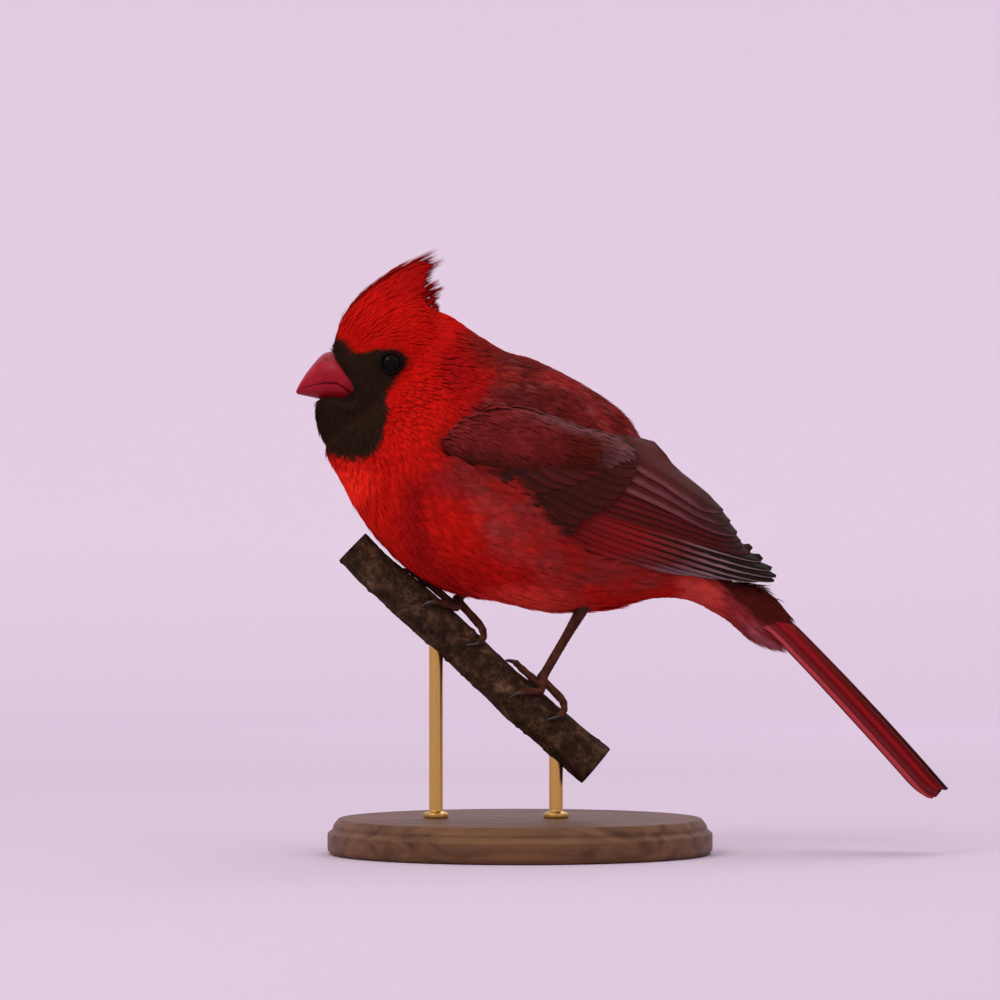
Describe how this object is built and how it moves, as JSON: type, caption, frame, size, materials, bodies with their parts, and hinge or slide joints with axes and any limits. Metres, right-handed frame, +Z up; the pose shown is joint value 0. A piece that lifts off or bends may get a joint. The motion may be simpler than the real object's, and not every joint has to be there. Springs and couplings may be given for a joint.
{
  "type": "northern cardinal model",
  "caption": "Life-size still model of a male northern cardinal gripping a short cut branch, held on a small round display stand.",
  "frame": {"origin": "middle of the underside of the stand's base", "axes": "+Z up, the bird faces -X and its left side faces -Y"},
  "size_m": [0.1866, 0.11, 0.1728],
  "materials": {
    "plumage_red": "soft matte feathers",
    "plumage_black": "soft matte feathers",
    "plumage_wing": "smooth vaned feathers",
    "plumage_tail": "smooth vaned feathers",
    "bill_horn": "satin horn",
    "eye": "wet gloss",
    "leg_skin": "scaly skin",
    "bark": "rough bark",
    "base_wood": "oiled, satin",
    "rod_brass": "satin"
  },
  "bodies": {
    "root": {"head": "plumage_red", "mask": "plumage_black", "bill_upper": "bill_horn", "bill_lower": "bill_horn", "eye_left": "eye", "eye_right": "eye", "neck": "plumage_red", "torso": "plumage_red", "wing_left": "plumage_wing", "wing_right": "plumage_wing", "tail": "plumage_tail", "leg_left": "leg_skin", "leg_right": "leg_skin", "foot_left": "leg_skin", "foot_right": "leg_skin", "perch": "bark", "stand_rod_front": "rod_brass", "stand_rod_rear": "rod_brass", "stand_base": "base_wood"}
  },
  "joints": []
}
